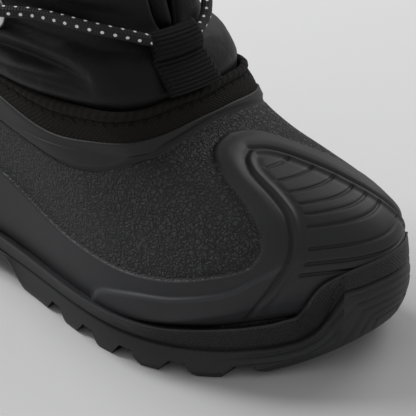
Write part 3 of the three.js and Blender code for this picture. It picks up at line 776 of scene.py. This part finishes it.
def soleRubber(wire):
    along, up, fromTop = wire.mark("bandAlong"), wire.mark("bandUp"), wire.mark("fromTop")
    band = up.ease(0.5, 0.9) * fromTop.ease(0.8, 1.2)
    front = (wire.across(0, "Object") * 1000).ease(54, 66)
    first = abs(((along - up * 0.8) / 1.35).fraction() - 0.5).ease(0.08, 0.36)
    second = abs(((along + up * 1.1) / 1.35).fraction() - 0.5).ease(0.08, 0.36)
    knurl = first * (1 - front) + (first * second) * front
    mould = wire.noise(2400.0, 2.0, 0.6) * 0.03 + wire.noise(80.0, 2.0, 0.5) * 0.1
    height = knurl * band * 0.9 + mould
    cloud = wire.noise(30.0, 3.0, 0.55)
    fine = wire.noise(900.0, 2.0, 0.6)
    dust = (cloud * 0.5 + fine * 0.5).ease(0.35, 0.7)
    # Painted shade: the tone is darkened in the groove below the knurled band.
    line = 1 - abs(up + 0.5).ease(0.2, 0.9)
    # Painted light and shade: the knurl's raised parts are lighter and its grooves darker.
    tone = (dust * 0.4 + 0.3 + band * (knurl - 0.3) * 0.9 - line * 0.7).within()
    return {
        "Base Color": tone.colour((0.007, 0.007, 0.008), (0.034, 0.035, 0.038)),
        "Roughness": 0.52 + dust * 0.1,
        "Specular IOR Level": 0.45,
        "Normal": wire.bump(height),
    }


soleFinish = newFinish("sole rubber", soleRubber)
outsolePiece = buildOutsole()
cutTread(outsolePiece)
pickOnly(outsolePiece)
bpy.ops.object.shade_smooth_by_angle(angle=math.radians(40))
finishPiece(outsolePiece, soleFinish, "sole_rubber", "outsole")
print("outsole made")

insole = {
    "ease": 4.3,
    "edge": [(0.35, 1.2), (0.6, 0.4), (1.6, 0), (3.0, 0), (3.8, 0.5), (4.2, 1.6)],    # height, draw inwards
}


def buildInsole():
    columns = np.arange(240) / 240
    ring = onForm(columns, 0.0, -insole["ease"])
    floor = onForm(columns, 0.0)[:, 2]
    rows = []
    for lift, draw in insole["edge"]:
        row = onForm(columns, 0.0, -insole["ease"] - draw)
        row[:, 2] = floor + lift
        rows.append(row)
    wall = closeRound(np.stack(rows, 1))
    top = footCap("insole_top", rows[-1], None, 20)
    bottom = footCap("insole_bottom", rows[0], None, 20)
    return sealPiece([addGrid("insole_felt", wall), top, bottom])


def feltWool(wire):
    fibre = wire.noise(900.0, 4.0, 0.7, 1.5)
    tuft = wire.noise(180.0, 3.0, 0.6)
    tone = (fibre * 0.6 + tuft * 0.4).ease(0.3, 0.7)
    return {
        "Base Color": tone.colour((0.05, 0.048, 0.045), (0.15, 0.145, 0.135)),
        "Roughness": 0.95,
        "Normal": wire.bump(fibre * 0.5 + tuft * 0.6),
    }


feltFinish = newFinish("grey felt", feltWool)
finishPiece(buildInsole(), feltFinish, "felt", "insole")
print("insole made")

shaft = {
    "tuck": -3.45, "wall": 4.0,
    "profile": [(8, -3.45), (9, -3.45), (9.85, -3.3), (10.0, -1.6), (10.12, 0.0), (10.35, 1.5), (10.6, 1.7),
                (10.8, 0.6), (11.0, -0.6), (11.15, -0.3), (11.4, 0.7), (12, 0.6), (13, 0.2), (14, 0.0)],
    "lining": [(8, -3.45), (10.0, -3.3), (11.15, -0.3), (11.5, 0.4), (12, 0.5), (13, 0), (14, 0)],
    "slit": [(84, 0.15), (99, 0.2), (102, 3.6), (106, 5.4), (113, 6.8), (212, 17), (216, 17.4)],
}
# Folds of the nylon: place round the ring and height of its run, depth (below zero stands proud), half width.
nylonFolds = [
    ([(0.26, 91), (0.22, 92.4), (0.175, 93.2), (0.13, 92.6), (0.095, 90.6)], 4.6, 3.4),
    ([(0.19, 86.4), (0.14, 86.6), (0.10, 86.0)], 0.7, 1.6),
    ([(0.235, 97.5), (0.18, 98.8), (0.12, 98.2), (0.075, 96)], -1.2, 4.5),
    ([(0.20, 98.2), (0.14, 98.8), (0.09, 97.0), (0.055, 95.0)], 0.8, 2.4),
    ([(0.22, 104), (0.172, 103.6), (0.131, 102.5), (0.095, 101.2), (0.06, 99.2), (0.03, 97.6)], 1.3, 2.4),
    ([(0.205, 116), (0.172, 115.5), (0.131, 115), (0.095, 113.6), (0.064, 111.8), (0.035, 108.5)], 1.2, 2.6),
    ([(0.15, 121), (0.11, 120), (0.07, 116.5)], -0.9, 3.5),
    ([(0.16, 126), (0.12, 124.5), (0.07, 122.5), (0.04, 123)], 1.0, 3.0),
    ([(0.06, 91.5), (0.05, 95.5), (0.05, 99)], 0.7, 2.2),
    ([(0.3, 90), (0.36, 94), (0.42, 93)], 1.6, 3.4),
    ([(0.3, 103), (0.37, 106), (0.44, 104)], 1.3, 3.4),
    ([(0.33, 120), (0.42, 125), (0.5, 122), (0.58, 126)], 1.2, 4.5),
    ([(0.24, 138), (0.32, 142), (0.4, 139)], 1.0, 5.0),
    ([(0.08, 148), (0.15, 143), (0.22, 147)], 0.9, 5.0),
    ([(0.755, 89), (0.80, 90.2), (0.85, 90.5), (0.90, 89.2), (0.925, 88)], 2.6, 3.2),
    ([(0.78, 97), (0.84, 98.4), (0.90, 97.2), (0.95, 95)], 0.9, 2.6),
    ([(0.79, 104), (0.84, 103), (0.90, 101.5), (0.95, 99)], 1.2, 2.6),
    ([(0.8, 116), (0.85, 115), (0.92, 113), (0.965, 110)], 1.2, 2.8),
    ([(0.84, 127), (0.89, 124), (0.94, 123)], 1.0, 3.4),
    ([(0.6, 92), (0.66, 95), (0.72, 92)], 1.5, 3.4),
    ([(0.58, 106), (0.66, 109), (0.72, 105)], 1.2, 3.6),
    ([(0.68, 140), (0.76, 144), (0.84, 140)], 0.9, 5.0),
    ([(0.45, 150), (0.55, 154), (0.62, 150)], 0.9, 6.0),
    ([(0.12, 172), (0.2, 176), (0.3, 171)], 0.7, 6.0),
    ([(0.7, 174), (0.8, 178), (0.88, 172)], 0.7, 6.0),
]
ringLength = 372.0               # round the ankle


def foldDepth(u, z):
    flat = np.stack([(np.asarray(u) % 1) * ringLength, z], -1)
    total = np.zeros(flat.shape[:-1])
    for run, depth, halfWidth in nylonFolds:
        line = smoothLine([(a * ringLength, b) for a, b in run], 2.5)
        distance, along = nearestOn(flat, line)
        share = along / np.sum(np.linalg.norm(np.diff(line, axis=0), axis=1))
        fade = np.sin(math.pi * np.clip(share, 0.0, 1.0)) ** 0.7 + 0.04
        trough = ridge(distance, halfWidth * 1.6) * 0.8 + 0.2 * ridge(distance, halfWidth * 0.5)
        total -= depth * fade * trough
        total += 0.25 * depth * fade * ridge(distance - halfWidth * 2.2, halfWidth * 1.3)
    return total


halfTurn = np.linspace(0, math.pi, 7)[1:-1]


def padSection(around, v, centre, spread, half, thin):
    # One level of a padded wall: its face, its lining and two round edges. thin draws the faces together.
    outer = onForm(around, v, centre + spread * thin)
    inner = onForm(around, v, centre - spread * thin)[::-1]
    edges = []
    for index, way in ((-1, 1), (0, -1)):
        beyond = around[index] + way * half * np.sin(halfTurn) * thin / ringLength
        edges.append(onForm(beyond, v, centre[index] + way * np.cos(halfTurn) * spread[index] * thin))
    return np.vstack([outer, edges[0], inner, edges[1], outer[:1]])


def padPiece(name, levels, count, levelForLength):
    # The levels as one closed piece, with a mark that tells the lining from the face.
    points = np.stack(levels, 1)
    length = lengthAlong(points[:, levelForLength])
    uv = np.stack([length[:, None] + 0 * points[..., 0], points[..., 2]], -1)
    lining = np.zeros(points.shape[0])
    lining[count + 2:2 * count + 8] = 1
    return sealPiece([addGrid(name, points, uv, {"lining": lining[:, None] + 0 * points[..., 0]})])


def buildShaft():
    sides = 300
    s = np.linspace(0, 1, sides)
    levels = steps((8.6, 9.9, 0.1), (9.9, 11.8, 0.03), (11.8, 14, 0.045))
    half = shaft["wall"] / 2

    def section(v, thin):
        z = float(readForm(formPoints, 0.0, v)[2])
        slit = float(table(z, shaft["slit"]))
        shift = slit / ringLength + half * thin / ringLength
        around = shift + (1 - 2 * shift) * s
        folds = foldDepth(around, onForm(around, v)[:, 2])
        puff = table(v, shaft["profile"]) + folds * blend(v, 9.9, 10.05)
        lining = table(v, shaft["lining"]) - shaft["wall"]
        return padSection(around, v, (puff + lining) / 2, (puff - lining) / 2, half, thin)

    rows = [section(float(levels[0]), 0.0)] + [section(float(v), 1.0) for v in levels]
    for turn in np.linspace(0, math.pi / 2, 5)[1:]:
        ring = section(float(levels[-1]), max(math.cos(turn), 0.0))
        ring[:, 2] += half * math.sin(turn) * 0.6
        rows.append(ring)
    return padPiece("shaft_nylon", rows, sides, 60)


def nylonCloth(wire):
    along, up = wire.across(0), wire.across(1)
    lining = wire.mark("lining").ease(0.4, 0.6)
    weave = (along * 8.0).sine() * (up * 8.0).sine()
    crinkle = wire.noise(140.0, 3.0, 0.55, 0.4)
    fibre = wire.noise(1200.0, 4.0, 0.7, 1.0)
    tone = (crinkle * 0.7 + 0.15).lowest(1)
    cloth = tone.colour((0.0014, 0.0013, 0.0013), (0.0042, 0.0039, 0.0038))
    fleece = fibre.colour((0.02, 0.019, 0.018), (0.06, 0.057, 0.054))
    height = (weave * 0.015 + crinkle * 0.5) * (1 - lining) + fibre * 0.6 * lining
    return {
        "Base Color": lining.colour(cloth, fleece),
        "Roughness": 0.46 + crinkle * 0.1 + lining * 0.42,
        "Specular IOR Level": 0.24,
        "Sheen Weight": 0.03,
        "Sheen Roughness": 0.5,
        "Normal": wire.bump(height),
    }


nylonFinish = newFinish("black nylon", nylonCloth)
finishPiece(buildShaft(), nylonFinish, "nylon", "shaft")
print("shaft made")

tongue = {"spread": 0.062, "levels": (10.6, 14.06), "behind": -5.9, "wall": 4.0, "proud": 5.6}


def buildTongue():
    count = 44
    s = np.linspace(-1, 1, count)

    def section(v, thin, rise=0.0):
        v = min(v, 13.99)
        z = float(readForm(formPoints, 0.0, v)[2])
        slit = max(float(table(z, shaft["slit"])) - 0.6, 1.0)
        face = tongue["behind"] - 0.9 * (1 - float(blend(v, 10.6, 11.3)))
        around = s * tongue["spread"]
        bulge = np.clip(1 - (around * ringLength / slit) ** 2, 0, 1) ** 0.8
        seam = -0.8 * ridge(np.abs(around * ringLength) - slit * 0.55, 1.2)
        proud = (tongue["proud"] + 0.5 * math.sin(z * 0.21)) * bulge * float(blend(z, 99.5, 104.5))
        front = face + proud + seam * (proud > 0.5)
        centre, spread = (front + face - tongue["wall"]) / 2, (front - face + tongue["wall"]) / 2
        ring = padSection(around, v, centre, spread, tongue["wall"] / 2, thin)
        ring[:, 2] += rise
        return ring

    levels = steps((tongue["levels"][0], 13.98, 0.035))
    rows = [section(float(levels[0]), 0.0, -1.2)] + [section(float(v), 1.0) for v in levels]
    for turn in np.linspace(0, math.pi / 2, 5)[1:]:
        rows.append(section(float(levels[-1]), max(math.cos(turn), 0.0), 1.6 * math.sin(turn)))
    return padPiece("tongue_nylon", rows, count, 20)


finishPiece(buildTongue(), nylonFinish, "nylon", "tongue")
print("tongue made")

binding = {
    "topLine": [(0, 9.95), (0.038, 9.97), (0.058, 9.9), (0.09, 9.87), (0.128, 9.9), (0.169, 10.0),
                (0.216, 10.06), (0.3, 10.0), (0.5, 10.0)],
    "face": -0.75, "wall": 2.2,
}


def buildBinding():
    columns = steps((0, 0.25, 0.0018), (0.25, 0.75, 0.004), (0.75, 1, 0.0018))
    u = columns[:, None]
    low = table(roundFront(u), shell["rimLine"]) + 0.05
    high = table(roundFront(u), binding["topLine"])
    face, back = binding["face"], binding["face"] - binding["wall"]
    profile = [(0.0, back + 0.1), (0.0, face - 0.5), (0.03, face + 0.0)]
    profile += [(t, face + 0.35 * math.sin(math.pi * t / 0.84)) for t in np.linspace(0.08, 0.77, 12)]
    profile += [(0.80, face - 0.3), (0.82, face + 0.5), (0.86, face + 1.1), (0.92, face + 1.45),
                (0.98, face + 1.15), (1.03, face + 0.2), (1.01, face - 1.0), (0.94, back), (0.6, back),
                (0.3, back), (0.0, back + 0.1)]
    share = np.array([t for t, _ in profile])[None, :]
    offset = np.array([o for _, o in profile])[None, :]
    v = low + (high - low) * share
    points = onForm(u + 0 * v, v, offset + 0 * v)
    length = lengthAlong(points[:, 8])
    climb = np.cumsum(np.linalg.norm(np.diff(points, axis=1), axis=2), axis=1)
    up = np.pad(climb, ((0, 0), (1, 0)))
    uv = np.stack([length[:, None] + 0 * up, up], -1)
    return sealPiece([addGrid("rim_binding", points, uv, {"share": share + 0 * v})])


def bindingWeave(wire):
    along, up, share = wire.across(0), wire.across(1), wire.mark("share")
    piping = share.ease(0.79, 0.82)
    drift = wire.noise(90.0, 2.0, 0.5)
    warp = ((along + up * 1.3) * 3.4 + drift * 9).sine()
    weft = ((along * 0.9 - up) * 4.4 + drift * 7).sine()
    tuft = wire.noise(800.0, 3.0, 0.65)
    turn = ((along + up * 0.7) * 1.9 + drift * 6).sine()
    # Dark stitch holes near the top, and painted shade along the lower edge where the binding meets the
    # shell.
    stitchHolesAndEdgeShade = 1 - abs((along / 4.6 + drift * 1.6).fraction() - 0.5).ease(0.10, 0.2)
    stitchHolesAndEdgeShade = stitchHolesAndEdgeShade * share.ease(0.66, 0.70) * (1 - share.ease(0.77, 0.80)) + (1 - share.ease(0.02, 0.07)) * 0.8
    flat = warp * 0.35 + weft * 0.35
    weave = flat * (1 - piping) + turn * 0.5 * piping
    tone = (weave * 0.35 + 0.2 + tuft * 0.35 - stitchHolesAndEdgeShade * 0.9).within()
    return {
        "Base Color": tone.colour((0.0020, 0.0018, 0.0017), (0.0170, 0.0135, 0.0110)),
        "Roughness": 0.85,
        "Specular IOR Level": 0.25,
        "Normal": wire.bump(weave * 0.2 + tuft * 0.4 - stitchHolesAndEdgeShade * 0.6),
    }


bindingFinish = newFinish("binding weave", bindingWeave)
finishPiece(buildBinding(), bindingFinish, "binding_weave", "binding")
print("binding made")

cord = {"diameter": 4.0, "pitch": 4.1, "dot": 0.6, "turned": 0.5}
cordHalf = [
    # x, distance from the middle, z
    (38.1, 0, 101.3), (37.6, 5, 101.4), (36.1, 9.6, 101.8), (34.1, 14.2, 103.4), (30.4, 19, 105.4),
    (26, 23.9, 107.3), (21, 27.6, 108.6), (15.5, 30.3, 109.6), (9.1, 32.3, 110.2), (2.8, 34.9, 110.8),
    (-2.8, 38.4, 111.1), (-7.2, 41, 111.1), (-11.4, 42, 111), (-15, 40.8, 111), (-17.4, 38.4, 111),
]


def cordLine(step):
    outerSide = [(x, -y, z) for x, y, z in cordHalf[:0:-1]]
    innerSide = [(x, y, z) for x, y, z in cordHalf[1:]]
    return smoothLine(outerSide + [cordHalf[0]] + innerSide, step)


def cordBraid(wire):
    along, turn = wire.across(0), wire.across(1)
    lane = turn * 4 + cord["turned"]
    odd = (lane.whole() * 0.5).fraction().ease(0.2, 0.3)
    across = (lane.fraction() - 0.5) * 3.14
    step = ((along / cord["pitch"] + odd * 0.5).fraction() - 0.5) * cord["pitch"]
    far = (across * across * 1.1 + step * step) ** 0.5
    dot = 1 - far.ease(cord["dot"] - 0.12, cord["dot"] + 0.1)
    braid = ((along * 1.0 + turn * 12.566) * 3.1).sine() * ((along * 1.0 - turn * 12.566) * 3.1).sine()
    tuft = wire.noise(1500.0, 2.0, 0.6)
    black = (braid * 0.3 + tuft * 0.7).colour((0.004, 0.004, 0.004), (0.018, 0.017, 0.017))
    return {
        "Base Color": dot.colour(black, (0.95, 0.95, 0.94)),
        "Roughness": 0.75,
        "Normal": wire.bump(braid * 0.16 + tuft * 0.1 + dot * 0.1),
    }


cordFinish = newFinish("dotted cord", cordBraid)
cordPiece = sealPiece([addTube("lace_cord", cordLine(1.2), cord["diameter"] / 2, 20)])
finishPiece(cordPiece, cordFinish, "cord_braid", "lace")
print("cord made")

strap = {"halfWidth": 12.5, "levels": (10.0, 10.98), "inside": 1.7, "thickness": 2.0, "standsOut": 7.7,
         "aside": 0.011, "ringLength": 392.0, "bendRadius": 26.0}


def addStrip(name, face, back, across, length):
    # A strip of two layers, closed round its rows and drawn to a line at both sides.
    ring = np.concatenate([face, back[:, ::-1], face[:, :1]], 1)
    ends = [np.concatenate([line, line[::-1], line[:1]])[None] for line in ((face + back) / 2)[[0, -1]]]
    up = np.linspace(0, length, face.shape[1])
    up = np.concatenate([up, up[::-1], up[:1]])
    uv = np.stack(np.broadcast_arrays(np.pad(across, 1, mode="edge")[:, None], up[None]), -1)
    return sealPiece([addGrid(name, np.concatenate([ends[0], ring, ends[1]]), uv)])


def buildStrap():
    # Two layers of webbing that open into a fold round the cord, as one closed strip across the front.
    across = steps((-1, 1, 0.035))
    reach = across * strap["halfWidth"] / strap["ringLength"]
    bottom, top = strap["levels"]
    layers = []
    for t in np.linspace(0, 1, 72):
        v = bottom + (top - bottom) * t
        bulge = math.sqrt(max(0.0, 1 - ((t - 0.80) / 0.2) ** 2))
        rib = 0.18 * math.sin(t * math.pi * 2 * 15.5)
        dent = -0.4 * float(ridge(t - 0.57, 0.02)) - 0.4 * float(ridge(t - 0.50, 0.02))
        flat = strap["inside"] + strap["thickness"]
        out = flat + rib + dent + (strap["standsOut"] - flat) * bulge
        narrow = 1 / (1 + (out - rib) / strap["bendRadius"])
        layers.append((v, out, strap["aside"] + reach * narrow))
    front = np.stack([onForm(wide, v, out) for v, out, wide in layers], 1)
    back = np.stack([onForm(wide, v, strap["inside"]) for v, _, wide in layers], 1)
    centre = (front + back) / 2
    edge = 1 - 0.35 * np.abs(across) ** 12
    front = centre + (front - centre) * edge[:, None, None]
    back = centre + (back - centre) * edge[:, None, None]
    return addStrip("front_webbing", front, back, across * strap["halfWidth"], 24)


def webbingRibs(wire):
    side, up = wire.across(0), wire.across(1)
    edge = abs(side).ease(10.4, 11.0)
    ribs = (up * 4.06).sine()
    thread = (side * 9.0).sine()
    whip = (up * 2.4 + side * 1.6).sine()
    tuft = wire.noise(1100.0, 3.0, 0.6)
    rows = (1 - abs(up - 12.2).ease(0.2, 0.5)).highest(1 - abs(up - 13.9).ease(0.2, 0.5))
    stitch = rows * ((side / 2.6).fraction() - 0.5).ease(-0.2, -0.05)
    height = (ribs * 0.22 + thread * 0.04) * (1 - edge) + whip * 0.3 * edge + tuft * 0.14 + stitch * 0.25
    tone = (ribs * 0.3 + tuft * 0.5 + 0.1 + stitch * 0.3 - edge * 0.15).within()
    return {
        "Base Color": tone.colour((0.0020, 0.0020, 0.0020), (0.0130, 0.0120, 0.0115)),
        "Roughness": 0.78,
        "Specular IOR Level": 0.25,
        "Normal": wire.bump(height),
    }


webbingFinish = newFinish("ribbed webbing", webbingRibs)
finishPiece(buildStrap(), webbingFinish, "webbing", "front_strap")
print("strap made")

ring = {
    "place": (0.2, 11.27), "standsOff": 3.8, "wire": 2.2, "front": 13,
    "half": [(0, 2.8), (0, 5.8), (0.8, 8), (3, 9), (7, 8), (11, 5)],
}
tab = {"height": 12.0, "length": 22.0, "layer": 1.2}


def atAnkle(side):
    # Forward, out and up at one side of the ankle, and the place on the form.
    u = ring["place"][0] if side < 0 else 1 - ring["place"][0]
    out = readForm(formNormals, u, ring["place"][1])
    forward = np.array([1.0, 0, 0]) - out * out[0]
    forward /= np.linalg.norm(forward)
    up = np.cross(forward, out)
    return forward, out, up * (1 if up[2] > 0 else -1), onForm(u, ring["place"][1])


def buildRing(name, side):
    forward, out, up, place = atAnkle(side)
    half = ring["half"] + [(ring["front"], 0)]
    outline = half + [(x, -z) for x, z in ring["half"][::-1]]
    flat = closedCurve(np.array([(x, 0.0, z) for x, z in outline]), 90, 900)
    line = place + flat[:, :1] * forward + ring["standsOff"] * out + flat[:, 2:] * up
    return sealPiece([addTube(name, line, ring["wire"] / 2, 14, closed=True)])


def buildTab(name, side):
    # A strip of webbing, folded round the ring's bar and sewn back on itself.
    forward, out, up, place = atAnkle(side)
    eye = ring["wire"] / 2 + 0.3
    layer, stand = tab["layer"], ring["standsOff"]
    low = stand - eye - layer
    outer = [(-tab["length"], low), (-11, low), (0, low)]
    turns = np.linspace(-math.pi / 2, 2 * math.pi / 3, 14)
    outer += [(math.cos(a) * (eye + layer), stand + math.sin(a) * (eye + layer)) for a in turns[1:]]
    high = low + 2 * layer
    outer += [(-4.6, high + 1.6), (-7.5, high + 0.2), (-14, high), (-tab["length"], high)]
    end = 0.3 - tab["length"]
    inner = [(end, low + layer * 0.9), (-11, low + layer), (-1.2, low + layer)]
    inner += [(math.cos(a) * eye, stand + math.sin(a) * eye) for a in turns[1:]]
    inner += [(-3.4, low + layer + 1.7), (-6.5, low + layer + 0.25), (-14, low + layer * 1.05),
              (end, low + layer * 1.1)]
    across = np.linspace(-1, 1, 15) * tab["height"] / 2
    face, back = (
        place + line[None, :, :1] * forward + line[None, :, 1:] * out + across[:, None, None] * up
        for line in (np.array(outer), np.array(inner)))
    return addStrip(name, face, back, across, 40)


def ringSteel(wire):
    wear = wire.noise(300.0, 3.0, 0.6)
    brush = wire.noise(2200.0, 2.0, 0.5)
    return {
        "Base Color": wear.colour((0.50, 0.50, 0.49), (0.70, 0.70, 0.69)),
        "Metallic": 1.0,
        "Roughness": 0.24 + wear * 0.14,
        "Normal": wire.bump(brush * 0.01),
    }


def tabWebbing(wire):
    side, up = wire.across(0), wire.across(1)
    tuft = wire.noise(1100.0, 3.0, 0.6)
    ribs = (up * 4.6).sine()
    return {
        "Base Color": (ribs * 0.2 + tuft * 0.7).colour((0.004, 0.004, 0.004), (0.022, 0.020, 0.019)),
        "Roughness": 0.75,
        "Normal": wire.bump(ribs * 0.14 + tuft * 0.14 + (side * 7.0).sine() * 0.03),
    }


steelFinish = newFinish("ring steel", ringSteel)
tabFinish = newFinish("tab webbing", tabWebbing)
for word, side in (("outer", -1), ("inner", 1)):
    finishPiece(buildRing(f"{word}_d_ring", side), steelFinish, "ring_steel", f"{word}_ring")
    finishPiece(buildTab(f"{word}_webbing_tab", side), tabFinish, "webbing", f"{word}_tab")
print("rings and tabs made")

room = {"floor": 8.0, "pale": 0.63, "world": 0.38}


def addLight(name, place, aim, size, power):
    bpy.ops.object.select_all(action="DESELECT")
    bpy.ops.object.light_add(type="AREA", location=place)
    light = bpy.context.object
    light.name = name
    light.data.shape = "DISK"
    light.data.size = size
    light.data.energy = power
    light.rotation_euler = (Vector(aim) - Vector(place)).to_track_quat("-Z", "Y").to_euler()


def paleFloor(wire):
    speck = wire.noise(40.0, 2.0, 0.5)
    pale = room["pale"]
    return {
        "Base Color": speck.colour((pale, pale, pale * 1.005), (pale * 1.01, pale * 1.01, pale * 1.015)),
        "Roughness": 0.8,
        "Specular IOR Level": 0.2,
        "Normal": wire.bump(speck * 0.02),
    }


bpy.ops.object.select_all(action="DESELECT")
bpy.ops.mesh.primitive_plane_add(size=room["floor"], location=(0, 0, 0))
floor = bpy.context.object
floor.name = "floor"
floor.data.materials.append(newFinish("pale floor", paleFloor))

world = bpy.data.worlds.new("studio")
bpy.context.scene.world = world
world.use_nodes = True
sky = world.node_tree.nodes["Background"]
sky.inputs["Color"].default_value = (1, 1, 1, 1)
sky.inputs["Strength"].default_value = room["world"]
addLight("key", (-1.45, -0.15, 1.6), (0.0, 0, 0.05), 1.0, 37)
addLight("back", (0.0, 1.6, 1.1), (0.1, 0.2, 0.0), 1.2, 9)
bpy.context.scene.view_settings.view_transform = "Standard"
print("room made")
